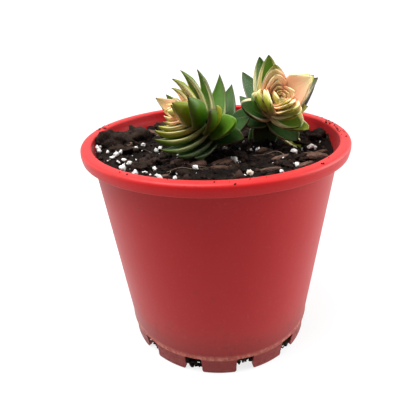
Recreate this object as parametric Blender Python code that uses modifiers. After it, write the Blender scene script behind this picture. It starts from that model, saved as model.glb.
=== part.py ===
"""A small succulent with two leaning heads of stacked, four-ranked leaves, in a round plastic nursery pot.

Lengths below are millimetres and angles are degrees; MM turns them into the metres of the scene.
The pot's axis is Z, its feet stand on Z = 0, and -Y is the side the heads lean towards.
"""

import math

import bmesh
import bpy
from mathutils import Matrix, Vector, noise

MM = 0.001
GAP = 0.35                # air kept between neighbouring pieces

# ---- pot -------------------------------------------------------------------------------------
RIM_D = 130.0             # outside diameter of the rolled rim
POT_H = 111.4
BASE_D = 100.6            # outside diameter of the wall at the ground
WALL = 1.15
RIM_H = 5.5               # height of the rim's outer band
RIM_TOP = 5.3             # width of the rim's flat top
SKIRT = 1.2               # thickness of the band hanging outside the wall
STEP_DOWN = 5.0           # the small ledge inside the mouth, below the rim's top
LEDGE_Z = 10.6            # top of the foot ring
LEDGE = 0.3               # how far the foot ring stands out of the wall
FLOOR_Z = 3.0             # underside of the floor
FLOOR = 1.4
FOOT_WALL = 1.7
NOTCHES = 12
NOTCH_W = 8.9
NOTCH_H = 10.2
NOTCH_IN = 6.0            # how far each notch runs into the floor
NOTCH_TURN = 14.0         # angle of the first notch from the front
FOOT_ROUND = 2.0
TURN_STEPS = 72

# ---- soil ------------------------------------------------------------------------------------
SOIL_BELOW_RIM = 8.2      # mean level of the soil under the top of the rim
SOIL_Z = POT_H - SOIL_BELOW_RIM
SOIL_LUMP = 1.5
SOIL_RINGS = 7
SOIL_STEPS = 48

# ---- heads -----------------------------------------------------------------------------------
# foot: where the stem leaves the soil; start, end: (elevation, compass angle from +X) of the stem's
# direction at its foot and its tip; step: stem length between two leaf pairs of the same rank;
# rise: leaf angle above the plane square to the stem, at the tip and at the seventh pair.
LEFT = {
    "name": "left", "foot": (0.5, 1.7), "start": (62.0, 270.0), "end": (14.0, 204.0),
    "stem": 35.4, "step": 3.44, "twist": 3.4, "leaf": 27.0, "fill": 2.6, "rise": (73.0, 8.0),
    "bend": 1.9, "wide": 6.4, "ranks": ("up", "down", "front", "back"),
}
RIGHT = {
    "name": "right", "foot": (24.3, 13.6), "start": (74.0, 0.0), "end": (13.0, 270.0),
    "stem": 36.8, "step": 2.93, "twist": 20.0, "leaf": 23.0, "fill": 1.5, "rise": (73.0, -20.0),
    "bend": 2.2, "wide": 6.7, "ranks": ("up", "down", "right", "left"),
}
STEM_FOOT_R = 2.3
STEM_TIP_R = 0.9
STEM_BURIED = 9.0
PAIRS = 7
LEAF_THICK = 2.3
LEAF_CURL = 32.0          # how much a leaf turns up from its base to its tip
CHANNEL = 0.16            # rise of a leaf's edges above its middle, as a share of its half width
# How single leaves stray from the even stack: (rise in degrees, sideways lean in mm, extra length in mm).
STRAY = {
    "left_up_5": (6, 2, 0), "left_up_4": (6, 2, 1.5), "left_up_2": (-5, -1, -1.5),
    "left_down_1": (-2, 1, -2), "left_down_4": (1, -2, 2.5), "left_down_5": (1, -2, 2.5),
    "left_down_6": (4, 0, -1.5), "left_down_7": (14, 0, -6), "left_front_2": (3, 2, 1),
    "left_front_3": (3, 3, 1), "left_front_5": (-7, -1, 1), "left_back_2": (0, -2.5, -0.5),
    "left_back_4": (2, -4, -2.5),
    "right_up_6": (-3, 1.5, 0), "right_down_4": (-4, 0, 1), "right_down_5": (4, 3, 1),
    "right_down_7": (9, 0, -3),
}

# ---- bark ------------------------------------------------------------------------------------
# name: (x, y, length, width, thickness, turn, tilt)
BARK = {
    "bark_front": (4.0, -16.5, 11.0, 5.0, 1.8, 15.0, 9.0),
    "bark_right": (47.0, -15.5, 13.0, 5.5, 2.0, 12.0, -8.0),
    "bark_left": (-44.0, 14.0, 13.0, 8.0, 3.0, 30.0, 14.0),
    "bark_back": (-34.0, 24.0, 12.0, 7.0, 3.0, -20.0, -12.0),
}


# ---- colours: (red, green, blue), roughness ----------------------------------------------------
LOOKS = {
    "pot": ((0.42, 0.028, 0.026), 0.42),
    "soil": ((0.016, 0.011, 0.009), 0.95),
    "bark": ((0.13, 0.07, 0.045), 0.85),
    "stem": ((0.10, 0.16, 0.035), 0.6),
}
OLD_LEAF = (0.045, 0.15, 0.02)
YOUNG_LEAF = (0.62, 0.46, 0.22)
LEAF_ROUGHNESS = 0.38

PARTS = bpy.data.collections.new("potted_succulent")
CUTTERS = bpy.data.collections.new("potted_succulent_cutters")


def material(name, colour, roughness):
    made = bpy.data.materials.new(name)
    made.use_nodes = True
    shader = made.node_tree.nodes["Principled BSDF"]
    shader.inputs["Base Color"].default_value = (*colour, 1.0)
    shader.inputs["Roughness"].default_value = roughness
    shader.inputs["Metallic"].default_value = 0.0
    return made


def add(name, data, parent=None, cutter=False):
    """An object in the parts' collection or, hidden from renders, in the cutters'."""
    made = bpy.data.objects.new(name, data)
    made.parent = parent
    (CUTTERS if cutter else PARTS).objects.link(made)
    made.hide_render = cutter
    if cutter:
        made.display_type = "WIRE"
    return made


def mesh_from(shaped, name, sharp=None):
    """The bmesh's faces, made to face out, as a mesh; smooth but for edges over the angle sharp."""
    bmesh.ops.recalc_face_normals(shaped, faces=shaped.faces)
    mesh = bpy.data.meshes.new(name)
    shaped.to_mesh(mesh)
    shaped.free()
    if sharp:
        mesh.shade_smooth()
        mesh.set_sharp_from_angle(angle=math.radians(sharp))
    return mesh


def evaluated_mesh(made, name):
    """A plain mesh of an object as its modifiers leave it, with a curve's loose caps joined on."""
    graph = bpy.context.evaluated_depsgraph_get()
    mesh = bpy.data.meshes.new_from_object(made.evaluated_get(graph))
    mesh.name = name
    shaped = bmesh.new()
    shaped.from_mesh(mesh)
    bmesh.ops.remove_doubles(shaped, verts=shaped.verts, dist=1e-6)
    shaped.to_mesh(mesh)
    shaped.free()
    return mesh


def turned(name, profile, closed_at_axis, steps, cutter=False):
    """A half section (radius, height) swept about Z; the edge lying on the axis is left out."""
    n = len(profile)
    mesh = bpy.data.meshes.new(name)
    edges = [(i, (i + 1) % n) for i in range(n) if i != closed_at_axis]
    mesh.from_pydata([(r * MM, 0.0, z * MM) for r, z in profile], edges, [])
    made = add(name, mesh, cutter=cutter)
    screw = made.modifiers.new("turn", "SCREW")
    screw.axis = "Z"
    screw.steps = screw.render_steps = steps
    screw.use_merge_vertices = True
    screw.merge_threshold = 0.00005
    return made


def cut(target, other):
    """Subtracts an object, or every object of a collection."""
    taken = target.modifiers.new(other.name, "BOOLEAN")
    taken.operation = "DIFFERENCE"
    taken.solver = "EXACT"
    if isinstance(other, bpy.types.Collection):
        taken.operand_type = "COLLECTION"
        taken.collection = other
    else:
        taken.object = other


def loft(name, rings, tip):
    """A closed skin over rings of equal size, from a flat cap to a point."""
    shaped = bmesh.new()
    rows = [[shaped.verts.new(Vector(p) * MM) for p in ring] for ring in rings]
    point = shaped.verts.new(Vector(tip) * MM)
    shaped.faces.new(rows[0])
    n = len(rows[0])
    for lower, upper in zip(rows, rows[1:]):
        for j in range(n):
            k = (j + 1) % n
            shaped.faces.new((lower[j], lower[k], upper[k], upper[j]))
    for j in range(n):
        shaped.faces.new((rows[-1][j], rows[-1][(j + 1) % n], point))
    return mesh_from(shaped, name, sharp=50)


# ---- pot -------------------------------------------------------------------------------------
def wall_radius(z):
    return BASE_D / 2 + (RIM_D / 2 - 5.0 - BASE_D / 2) * z / (POT_H - RIM_H)


def pot_profile():
    """Half section of the pot, from the mouth down the outside, under the floor, and back up the inside."""
    rim = RIM_D / 2
    band = POT_H - RIM_H
    inner = rim - RIM_TOP
    outside = [
        (inner + 0.4, POT_H - 0.35), (inner + 1.3, POT_H), (rim - 2.0, POT_H), (rim - 0.8, POT_H - 0.4),
        (rim - 0.15, POT_H - 1.4), (rim, POT_H - 3.0), (rim - 0.3, band + 0.3), (rim - 0.7, band),
        (rim - SKIRT - 0.2, band), (rim - SKIRT - 0.1, POT_H - 2.3), (wall_radius(band) + 1.2, POT_H - 2.1),
        (wall_radius(band) + 0.2, POT_H - 3.4), (wall_radius(band), band - 1.0),
        (wall_radius(60.0), 60.0), (wall_radius(LEDGE_Z + 0.3), LEDGE_Z + 0.3),
        (wall_radius(LEDGE_Z) + LEDGE, LEDGE_Z - 0.1), (BASE_D / 2 + LEDGE, 1.0), (BASE_D / 2 - 0.4, 0.0),
        (BASE_D / 2 - FOOT_WALL, 0.0), (BASE_D / 2 - FOOT_WALL - 0.3, FLOOR_Z - 0.5),
        (BASE_D / 2 - FOOT_WALL - 1.0, FLOOR_Z), (0.0, FLOOR_Z),
    ]
    inside = [
        (0.0, FLOOR_Z + FLOOR), (wall_radius(FLOOR_Z) - WALL - 1.5, FLOOR_Z + FLOOR),
        (wall_radius(7.0) - WALL, 7.0), (wall_radius(POT_H - STEP_DOWN) - WALL, POT_H - STEP_DOWN - 0.5),
        (inner - 0.25, POT_H - STEP_DOWN), (inner, POT_H - 1.3),
    ]
    return outside, inside


def build_notches():
    """Twelve turned copies of one tall cutter, flared at the bottom so that the feet get round corners."""
    half, flare = NOTCH_W / 2, FOOT_ROUND
    side = [(half, NOTCH_H), (half, flare), (half + 0.3 * flare, 0.3 * flare), (half + flare, -0.05),
            (half + flare, -1.5)]
    shaped = bmesh.new()
    near, far = BASE_D / 2 - NOTCH_IN, BASE_D / 2 + 6.0
    outline = [shaped.verts.new((x * MM, -near * MM, z * MM)) for x, z in side]
    outline += [shaped.verts.new((-x * MM, -near * MM, z * MM)) for x, z in reversed(side)]
    face = shaped.faces.new(outline)
    pulled = bmesh.ops.extrude_face_region(shaped, geom=[face])["geom"]
    moved = [v for v in pulled if isinstance(v, bmesh.types.BMVert)]
    bmesh.ops.translate(shaped, verts=moved, vec=(0.0, (near - far) * MM, 0.0))
    shared = mesh_from(shaped, "notch")
    notches = bpy.data.collections.new("notch_cutters")
    CUTTERS.children.link(notches)
    for i in range(NOTCHES):
        notch = bpy.data.objects.new(f"notch_{i + 1}", shared)
        notches.objects.link(notch)
        notch.rotation_euler.z = math.radians(NOTCH_TURN + i * 360.0 / NOTCHES)
        notch.hide_render = True
        notch.display_type = "WIRE"
    return notches


def build_pot():
    outside, inside = pot_profile()
    pot = turned("pot", outside + inside, len(outside) - 1, TURN_STEPS)
    cut(pot, build_notches())
    pot.data.materials.append(material("pot", *LOOKS["pot"]))


# ---- soil and bark ---------------------------------------------------------------------------
def soil_height(x, y):
    """Lumpy ground: a little higher at the left wall, lower in the hollow under the heads."""
    lump = noise.noise(Vector((x * 0.075 + 3.1, y * 0.075 + 1.7, 0.4))) * SOIL_LUMP * 1.6
    lump += noise.noise(Vector((x * 0.19, y * 0.19, 5.2))) * SOIL_LUMP * 0.6
    left = 3.0 * math.exp(-((x + 50) ** 2 + (y - 6) ** 2) / 260.0)
    hollow = 1.6 * math.exp(-((x + 8) ** 2 + (y + 16) ** 2) / 420.0)
    return SOIL_Z + lump + left - hollow


def soil_radius(z):
    return wall_radius(z) - WALL - GAP - 0.12


def build_soil():
    """A turned plug that fills the pot; its flat top is then pushed into lumps."""
    top = soil_radius(SOIL_Z) - 0.35
    profile = [(top * i / SOIL_RINGS, SOIL_Z) for i in range(SOIL_RINGS + 1)]
    profile += [(soil_radius(60.0), 60.0), (soil_radius(8.0), 8.0),
                (wall_radius(6.0) - WALL - 3.0, FLOOR_Z + FLOOR + GAP), (0.0, FLOOR_Z + FLOOR + GAP)]
    blank = turned("soil_blank", profile, len(profile) - 1, SOIL_STEPS, cutter=True)
    mesh = evaluated_mesh(blank, "soil")
    bpy.data.objects.remove(blank)
    for corner in mesh.vertices:
        if corner.co.z > (SOIL_Z - 1) * MM:
            corner.co.z = soil_height(corner.co.x / MM, corner.co.y / MM) * MM
    soil = add("soil", mesh)
    mesh.materials.append(material("soil", *LOOKS["soil"]))
    return soil


def bark_slab(name, size, uneven, grow=0.0):
    """A broken, seven-sided slab, from a short cone squeezed to its length and width."""
    length, width, thick = size
    shaped = bmesh.new()
    bmesh.ops.create_cone(shaped, cap_ends=True, segments=7, radius1=0.53, radius2=0.47, depth=1.0)
    for corner in shaped.verts:
        ragged = 1 + 0.22 * math.sin(9.0 * math.atan2(corner.co.y, corner.co.x) + uneven)
        corner.co.x *= ragged * length + 2 * grow
        corner.co.y *= ragged * width + 2 * grow
        corner.co.z *= thick + 2 * grow
    bmesh.ops.scale(shaped, verts=shaped.verts, vec=(MM, MM, MM))
    return mesh_from(shaped, name)


def build_bark(soil):
    """Chips tilted on the soil and half sunk in it, each over a bed cut a little wider than the chip."""
    look = material("bark", *LOOKS["bark"])
    for name, (x, y, length, width, thick, turn, tilt) in BARK.items():
        size = (length, width, thick)
        chip = add(name, bark_slab(name, size, x))
        chip.data.materials.append(look)
        bed = add(name + "_bed", bark_slab(name + "_bed", size, x, grow=GAP), cutter=True)
        for piece in (chip, bed):
            piece.location = Vector((x, y, soil_height(x, y) + 0.25 * thick)) * MM
            piece.rotation_euler = (0.0, math.radians(-tilt), math.radians(turn))
        cut(soil, bed)


# ---- heads -----------------------------------------------------------------------------------
def heading(elevation, compass):
    e, c = math.radians(elevation), math.radians(compass)
    return Vector((math.cos(e) * math.cos(c), math.cos(e) * math.sin(c), math.sin(e)))


class Stem:
    """The bent centre line of one head, walked from the soil to the tip."""

    def __init__(self, head, steps=40):
        self.head, self.steps = head, steps
        start, end = heading(*head["start"]), heading(*head["end"])
        self.ways = [start.lerp(end, i / steps).normalized() for i in range(steps + 1)]
        self.points = [Vector((*head["foot"], SOIL_Z))]
        stride = head["stem"] / steps / 2
        for i in range(steps):
            self.points.append(self.points[-1] + (self.ways[i] + self.ways[i + 1]) * stride)

    def at(self, share):
        """Point and direction at a share of the stem's length."""
        share = min(max(share, 0.0), 1.0) * self.steps
        i = min(int(share), self.steps - 1)
        part = share - i
        way = self.ways[i].lerp(self.ways[i + 1], part)
        return self.points[i].lerp(self.points[i + 1], part), way.normalized()

    def radius(self, share):
        return STEM_FOOT_R + (STEM_TIP_R - STEM_FOOT_R) * max(share, 0.0)

    def node(self, count, rank):
        """Frame of one leaf at a pair counted from the tip: X out along the leaf, Z along the stem."""
        share = 1 - count * self.head["step"] / self.head["stem"]
        middle, way = self.at(share)
        up = (Vector((0, 0, 1)) - way * way.z).normalized()
        turn = math.radians(self.head["twist"] + (0, 180, 270, 90)[rank])
        out = up * math.cos(turn) + way.cross(up) * math.sin(turn)
        basis = Matrix((out, way.cross(out), way)).transposed().to_4x4()
        return Matrix.Translation(middle * MM) @ basis, self.radius(share)


def stem_curve(name, stem, grow=0.0, cutter=False):
    """A round rod along the stem, thinner towards its tip, its foot buried in the soil."""
    curve = bpy.data.curves.new(name, "CURVE")
    curve.dimensions = "3D"
    curve.bevel_depth = MM
    curve.bevel_resolution = 2
    curve.use_fill_caps = True
    shares = (0.0, 0.16, 0.32, 0.48, 0.64, 0.8, 0.92, 1.0)
    stations = [(stem.points[0] - stem.ways[0] * (STEM_BURIED + grow), stem.radius(0))]
    stations += [(stem.at(share)[0], stem.radius(share)) for share in shares]
    line = curve.splines.new("POLY")
    line.points.add(len(stations) - 1)
    for point, (place, radius) in zip(line.points, stations):
        point.co = (*(place * MM), 1.0)
        point.radius = radius + grow
    return add(name, curve, cutter=cutter)


def build_stem(stem, soil, parent):
    name = "stem_" + stem.head["name"]
    rod = stem_curve(name, stem)
    rod.parent = parent
    rod.data.materials.append(material(name, *LOOKS["stem"]))
    guide = stem_curve(name + "_guide", stem, grow=GAP, cutter=True)
    socket = add(name + "_socket", evaluated_mesh(guide, name + "_socket"), cutter=True)
    bpy.data.objects.remove(guide)
    cut(soil, socket)


def half_width(head, share):
    """Outline of a leaf: full from its base to a third of its length, then drawn out to a point."""
    if share < 0.32:
        return head["wide"]
    return head["wide"] * ((1 - share) / 0.68) ** 0.85


def leaf_mesh(name, head, count, stem_radius):
    """One fleshy leaf, channelled above and keeled below, turning up from its base to its tip."""
    more_rise, lean, more_length = STRAY.get(name, (0, 0, 0))
    length = head["leaf"] * (1 - math.exp(-(count + 0.5) / head["fill"])) + more_length
    young, old = head["rise"]
    rise = young + (old - young) * (count / PAIRS) ** head["bend"] + more_rise
    base = rise - LEAF_CURL / 2
    thick = head["step"] * math.cos(math.radians(min(base, 75))) - GAP
    thick = max(min(LEAF_THICK, thick), 0.55)
    reach = stem_radius + GAP + max(0.0, -math.sin(math.radians(base))) * thick
    climb, before, rings = 0.0, 0.0, []
    for share in (0.0, 0.1, 0.24, 0.4, 0.57, 0.74, 0.89, 1.0):
        middle_angle = math.radians(base + LEAF_CURL * (share + before) / 2)
        reach += length * (share - before) * math.cos(middle_angle)
        climb += length * (share - before) * math.sin(middle_angle)
        before = share
        angle = math.radians(base + LEAF_CURL * share)
        centre = Vector((reach, lean * share ** 2, climb))
        lift = Vector((-math.sin(angle), 0.0, math.cos(angle)))
        half = min(half_width(head, share), reach - GAP)
        deep = thick * (1 - 0.75 * share ** 1.6)
        upper = [(-1, 0), (-0.5, 0), (0, 0), (0.5, 0), (1, 0)]
        lower = [(0.55, 0.72), (0, 1), (-0.55, 0.72)]
        rings.append([centre + Vector((0, half * y, 0)) + lift * (CHANNEL * half * y * y - deep * h)
                      for y, h in upper + lower])
    return loft(name, rings[:-1], tip=centre)


def build_leaf(stem, rank, count, number, parent):
    head = stem.head
    name = f"{head['name']}_{head['ranks'][rank]}_{number}"
    frame, stem_radius = stem.node(count, rank)
    leaf = add(name, leaf_mesh(name, head, count, stem_radius), parent=parent)
    leaf.matrix_basis = frame
    age = min(1.0, (count - 1) / 4.5)
    colour = [young + (old - young) * age for young, old in zip(YOUNG_LEAF, OLD_LEAF)]
    leaf.data.materials.append(material(name, colour, LEAF_ROUGHNESS))


def build_head(head, soil):
    stem = Stem(head)
    parent = add("head_" + head["name"], None)
    build_stem(stem, soil, parent)
    for rank, pairs, offset in ((0, PAIRS, 0.0), (1, PAIRS, 0.0), (2, PAIRS - 1, 0.5), (3, PAIRS - 1, 0.5)):
        for number in range(1, pairs + 1):
            build_leaf(stem, rank, number + offset, number, parent)


def main():
    for old in list(bpy.data.objects):
        bpy.data.objects.remove(old, do_unlink=True)
    bpy.context.scene.collection.children.link(PARTS)
    bpy.context.scene.collection.children.link(CUTTERS)
    build_pot()
    soil = build_soil()
    build_bark(soil)
    for head in (LEFT, RIGHT):
        build_head(head, soil)


main()
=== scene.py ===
"""Potted variegated succulent: two leaning heads of stacked leaves in a dusty red nursery pot."""

import math
import random

import bmesh
import bpy
from mathutils import Matrix, Vector, noise


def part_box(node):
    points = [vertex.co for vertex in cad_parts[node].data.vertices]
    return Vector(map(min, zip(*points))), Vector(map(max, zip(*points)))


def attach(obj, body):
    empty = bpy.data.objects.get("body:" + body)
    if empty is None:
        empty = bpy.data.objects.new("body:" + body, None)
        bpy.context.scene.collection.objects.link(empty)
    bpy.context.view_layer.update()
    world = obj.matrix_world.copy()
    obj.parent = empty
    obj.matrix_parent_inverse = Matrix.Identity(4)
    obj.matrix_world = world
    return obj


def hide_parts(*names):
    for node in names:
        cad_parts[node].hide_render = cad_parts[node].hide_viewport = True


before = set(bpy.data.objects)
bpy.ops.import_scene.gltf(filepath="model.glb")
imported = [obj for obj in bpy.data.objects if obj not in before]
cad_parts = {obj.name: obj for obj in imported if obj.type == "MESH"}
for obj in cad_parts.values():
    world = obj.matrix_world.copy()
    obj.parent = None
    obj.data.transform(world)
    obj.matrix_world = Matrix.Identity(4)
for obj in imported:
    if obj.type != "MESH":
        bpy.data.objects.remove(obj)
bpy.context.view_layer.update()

MM = 0.001
BODY = "root"

# ---- pot and soil, in millimetres; the rim and the height come from the frame ----
POT_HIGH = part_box("pot")[1]
RIM = POT_HIGH[0] / MM          # outside radius of the rolled rim
POT_H = POT_HIGH[2] / MM
BAND = POT_H - 5.5              # underside of the rim's outer band
INNER = RIM - 5.3               # radius of the mouth
BASE = 50.3                     # outside radius of the wall at the ground
WALL = 1.15
SLOPE = (RIM - 5.0 - BASE) / BAND
LEDGE_Z = 10.6                  # top of the foot ring
FLOOR_Z = 3.0
FLOOR = 1.4
NOTCHES = 12
NOTCH_W = 8.9
NOTCH_H = 10.2
NOTCH_TURN = 14.0
NOTCH_IN = 6.0
SOIL_Z = POT_H - 8.2
BED = 57.0                      # radius of the soil that crumbs lie on

# ---- heads ----
# Foot, then the stem's direction at its foot and its tip as (elevation, compass), then how the
# leaves follow each other.
LEFT = {
    "name": "left", "foot": (0.5, 1.7), "start": (62.0, 270.0), "end": (14.0, 204.0), "stem": 35.4,
    "step": 3.44, "twist": 3.4, "leaf": 27.0, "fill": 2.6, "rise": (73.0, 8.0), "bend": 1.9,
    "turned": 0.24, "ranks": ("up", "down", "front", "back"),
}
RIGHT = {
    "name": "right", "foot": (24.3, 13.6), "start": (74.0, 0.0), "end": (13.0, 270.0), "stem": 36.8,
    "step": 2.93, "twist": 20.0, "leaf": 23.0, "fill": 1.5, "rise": (73.0, -20.0), "bend": 2.2,
    "turned": 0.0, "ranks": ("up", "down", "right", "left"),
}
PAIRS = 7                       # leaves in a rank; the two crossing ranks have one less
RANK_TURN = (0, 180, 270, 90)   # where each rank stands round the stem

# How single leaves stray from the pattern: more rise in degrees, sideways lean, more length, width.
STRAY = {
    "left_up": {
        1: (-16, -2, -2.5), 2: (-10, -1, -1), 3: (0, 0, 1.5), 4: (6, 1, 3), 5: (8, 1, 1.5),
        6: (-1, 0, 1, 1.45), 7: (2, -2.5, 1.5, 2.0),
    },
    "left_down": {
        1: (-8, 1, -1.5), 2: (-6, 0.5, 0), 3: (-3, -0.5, 2), 4: (-2, -1.5, 4.5), 5: (-1, -1.5, 4.5),
        6: (3, -0.5, 0.5), 7: (12, 1.5, -5),
    },
    "left_front": {
        1: (-4, 2.5, -2), 2: (1, 2, 0.5), 3: (1, 4, 1.5), 4: (-4, 0.5, 0.5), 5: (-9, -0.5, 0.5),
        6: (-7, -4.5, -3.5),
    },
    "left_back": {1: (0, 0.5, -4), 2: (1, -2.5, 0), 3: (1, -1, 0), 4: (6, -4.5, -2)},
    "right_up": {
        1: (-18, 0, 1.0), 2: (-12, 0.5, 0.5), 3: (0, -0.5, 0.5), 4: (0, -1, 2), 5: (2, -1, 1.5),
        6: (-3, 1.5, 2),
    },
    "right_down": {
        1: (3, 1, 0), 2: (-1, 0.5, 0.5), 3: (-3, 0, 0.5), 4: (-7, -0.5, 1.5), 5: (2, 2.5, 2.5, 0.85),
        6: (0, -0.5, -1), 7: (14, 6.0, 6.0, 0.6),
    },
    "right_right": {
        1: (-18, 2, 4.0), 2: (-10, 1, 3.0), 3: (0, 0, 1.5), 5: (5, 0, 3.5, 1.05),
        6: (15, -0.5, 5.5, 1.2),
    },
    "right_left": {
        1: (-1, 3, 0), 2: (3, 3, -1), 3: (6, 1, -1), 4: (11, 0, -1), 5: (12, -2, -0.5),
        6: (15, -3.5, -1),
    },
}


# ---- shader arithmetic ----
class Value:
    """A shader socket that takes part in Python sums."""

    def __init__(self, finish, socket):
        self.finish, self.socket = finish, socket

    def maths(self, operation, first, second=0.0):
        return self.finish.add("Math", {"operation": operation}, {0: first, 1: second})

    def __add__(self, other):
        return self.maths("ADD", self, other)

    __radd__ = __add__

    def __sub__(self, other):
        return self.maths("SUBTRACT", self, other)

    def __rsub__(self, other):
        return self.maths("SUBTRACT", other, self)

    def __mul__(self, other):
        return self.maths("MULTIPLY", self, other)

    __rmul__ = __mul__

    def __pow__(self, other):
        return self.maths("POWER", self, other)

    def __abs__(self):
        return self.maths("ABSOLUTE", self)

    def between(self, low, high):
        """0 below low, 1 above high, smooth in between."""
        settings = {"interpolation_type": "SMOOTHSTEP", "clamp": True}
        return self.finish.add("MapRange", settings, {"Value": self, "From Min": low, "From Max": high})

    def part(self, index):
        return self.finish.add("SeparateXYZ", {}, {0: self}, out=index)


class Finish:
    """One material, or the world: its node tree, its shader, and short words for what feeds it."""

    def __init__(self, name, kind="materials", **constants):
        self.made = getattr(bpy.data, kind).new(name)
        self.made.use_nodes = True
        self.tree = self.made.node_tree
        self.shader = self.tree.nodes.get("Principled BSDF")
        self.set(**constants)

    def feed(self, socket, value):
        if isinstance(value, Value):
            self.tree.links.new(value.socket, socket)
        elif socket.type == "RGBA" and len(value) == 3:
            socket.default_value = (*value, 1.0)
        else:
            socket.default_value = value

    def set(self, **inputs):
        for name, value in inputs.items():
            self.feed(self.shader.inputs[name.replace("_", " ")], value)

    def add(self, kind, settings, sockets, out=0):
        node = self.tree.nodes.new("ShaderNode" + kind)
        for name, value in settings.items():
            setattr(node, name, value)
        for name, value in sockets.items():
            self.feed(node.inputs[name], value)
        return Value(self, node.outputs[out])

    def place(self):
        return self.add("TexCoord", {}, {}, out="Object")

    def attribute(self, name):
        return self.add("Attribute", {"attribute_name": name}, {}, out="Vector")

    def noise(self, scale, detail=3.0, rough=0.55, *, at, warp=0.0):
        sockets = {"Vector": at, "Scale": scale, "Detail": detail, "Roughness": rough, "Distortion": warp}
        return self.add("TexNoise", {}, sockets)

    def cells(self, scale, at):
        return self.add("TexVoronoi", {}, {"Scale": scale, "Vector": at}, out="Distance")

    def stretch(self, vector, factors):
        return self.add("VectorMath", {"operation": "MULTIPLY"}, {0: vector, 1: factors})

    def join(self, x, y, z):
        return self.add("CombineXYZ", {}, {0: x, 1: y, 2: z})

    def mix(self, first, second, factor):
        settings = {"data_type": "RGBA", "clamp_factor": True}
        return self.add("Mix", settings, {0: factor, 6: first, 7: second}, out=2)

    def bump(self, height, distance, strength=1.0):
        sockets = {"Height": height, "Distance": distance, "Strength": strength}
        self.set(Normal=self.add("Bump", {}, sockets))


# ---- mesh helpers ----
def show(name, data, material, nodes=()):
    """Puts a piece in the scene on the object's one body, in place of the CAD nodes it stands for."""
    piece = in_scene(bpy.data.objects.new(name, data))
    data.materials.clear()
    data.materials.append(material)
    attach(piece, BODY)
    if nodes:
        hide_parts(*nodes)
    return piece


def finished_mesh(shaped, name):
    mesh = bpy.data.meshes.new(name)
    shaped.to_mesh(mesh)
    shaped.free()
    mesh.shade_smooth()
    return mesh


def join_rings(shaped, rows):
    """Faces between rings of as many points each."""
    n = len(rows[0])
    for lower, upper in zip(rows, rows[1:]):
        for j in range(n):
            k = (j + 1) % n
            shaped.faces.new((lower[j], lower[k], upper[k], upper[j]))


def in_scene(piece):
    bpy.context.scene.collection.objects.link(piece)
    return piece


def applied(piece):
    """The mesh of a helper with its modifiers worked in; the helper goes."""
    graph = bpy.context.evaluated_depsgraph_get()
    mesh = bpy.data.meshes.new_from_object(piece.evaluated_get(graph))
    bpy.data.objects.remove(piece)
    mesh.shade_smooth()
    return mesh


# ---- pot ----
def arc(centre, radius, start, stop, steps=6):
    """Points on a circle in the half section, from one angle to another."""
    turns = [math.radians(start + (stop - start) * i / steps) for i in range(steps + 1)]
    return [(centre[0] + radius * math.cos(t), centre[1] + radius * math.sin(t)) for t in turns]


def wall_radius(z):
    return BASE + SLOPE * z


def pot_profile():
    """The half section as (radius, height): down the outside from the lip, then up the inside."""
    lip = arc((INNER + 1.1, POT_H - 1.15), 1.1, 180, 100, 5)
    crown = [(INNER + 1.6, POT_H - 0.02), (INNER + 2.6, POT_H)]
    outer = arc((RIM - 1.75, POT_H - 1.75), 1.7, 90, 15, 6)
    side = [(RIM, POT_H - 2.9), (RIM - 0.2, BAND + 1.2)]
    hem = arc((RIM - 0.75, BAND + 0.45), 0.45, 0, -90, 3)
    hung = wall_radius(BAND)
    under = [(RIM - 1.4, BAND), (RIM - 1.3, POT_H - 2.3)]
    under += [(hung + 1.2, POT_H - 2.1), (hung + 0.2, POT_H - 3.4)]
    heights = (BAND - 1.0, 90.0, 75.0, 60.0, 45.0, 30.0, 18.0, LEDGE_Z + 0.7)
    wall = [(wall_radius(z), z) for z in heights]
    step = wall_radius(LEDGE_Z)
    ledge = [(step + 0.06, LEDGE_Z + 0.35), (step + 0.3, LEDGE_Z), (step + 0.33, LEDGE_Z - 0.4)]
    foot = [(BASE + 0.3, 4.0)] + arc((BASE - 0.5, 0.8), 0.8, 0, -90, 4)
    bottom = [(BASE - 1.7, 0.0), (BASE - 2.0, FLOOR_Z - 0.5), (BASE - 2.7, FLOOR_Z), (0.0, FLOOR_Z)]
    floor = [(0.0, FLOOR_Z + FLOOR), (wall_radius(FLOOR_Z) - WALL - 1.5, FLOOR_Z + FLOOR)]
    inside = [(wall_radius(z) - WALL, z) for z in (7.0, 60.0, POT_H - 12.0)]
    mouth = [(wall_radius(POT_H - 7.0) - WALL + 0.2, POT_H - 7.0)]
    mouth += [(INNER - 0.2, POT_H - 4.8), (INNER, POT_H - 3.2)]
    return lip + crown + outer + side + hem + under + wall + ledge + foot + bottom, floor + inside + mouth


def notch_cutters():
    """The flared cutters for the drainage notches, in one mesh."""
    half, flare = NOTCH_W / 2, 2.0
    side = [(half - 0.5, NOTCH_H), (half, NOTCH_H - 0.5), (half, flare)]
    side += [(half + flare - flare * math.cos(t), flare - flare * math.sin(t)) for t in (0.4, 0.8, 1.2)]
    side += [(half + flare, -0.02), (half + flare, -1.5)]
    outline = side + [(-x, z) for x, z in reversed(side)]
    shaped = bmesh.new()
    for i in range(NOTCHES):
        turn = Matrix.Rotation(math.radians(NOTCH_TURN + i * 360.0 / NOTCHES), 4, "Z")
        near = [shaped.verts.new(turn @ Vector((x, -(BASE - NOTCH_IN), z)) * MM) for x, z in outline]
        face = shaped.faces.new(near)
        pulled = bmesh.ops.extrude_face_region(shaped, geom=[face])["geom"]
        moved = [v for v in pulled if isinstance(v, bmesh.types.BMVert)]
        bmesh.ops.translate(shaped, verts=moved, vec=turn @ Vector((0, -2 * NOTCH_IN * MM, 0)))
    bmesh.ops.recalc_face_normals(shaped, faces=shaped.faces)
    return in_scene(bpy.data.objects.new("notch_cutters", finished_mesh(shaped, "notch_cutters")))


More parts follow.
